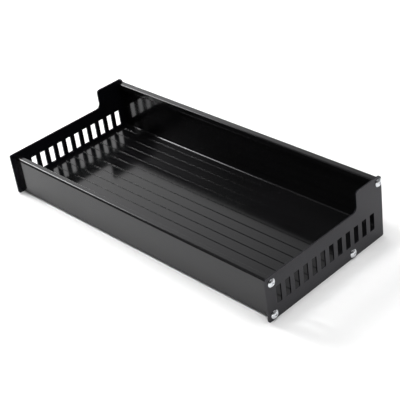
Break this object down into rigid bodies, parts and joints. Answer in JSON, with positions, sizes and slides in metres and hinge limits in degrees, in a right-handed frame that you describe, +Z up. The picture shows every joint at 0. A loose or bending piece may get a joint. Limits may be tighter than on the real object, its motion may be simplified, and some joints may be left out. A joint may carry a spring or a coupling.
{
  "type": "cable tray",
  "caption": "Long shallow open-topped tray: a grooved extruded channel with a low front wall and a high back wall, closed by slotted end plates that are screwed on.",
  "frame": {"origin": "middle of the footprint, level with the bottom edges of the end plates", "axes": "+X along the tray to the right end, -Y out of the low front wall, +Z up out of the open top"},
  "size_m": [0.4052, 0.178, 0.0746],
  "materials": {
    "channel": "black semi-gloss coat over an extrusion",
    "end_plate": "black semi-gloss powder coat",
    "screw": "bright plated"
  },
  "bodies": {
    "root": {"end_plate_left": "end_plate", "end_plate_right": "end_plate", "screw_left_back_top": "screw", "screw_left_floor": "screw", "screw_left_front_bottom": "screw", "screw_left_front_top": "screw", "screw_right_back_top": "screw", "screw_right_floor": "screw", "screw_right_front_bottom": "screw", "screw_right_front_top": "screw", "tray_profile": "channel"}
  },
  "joints": []
}
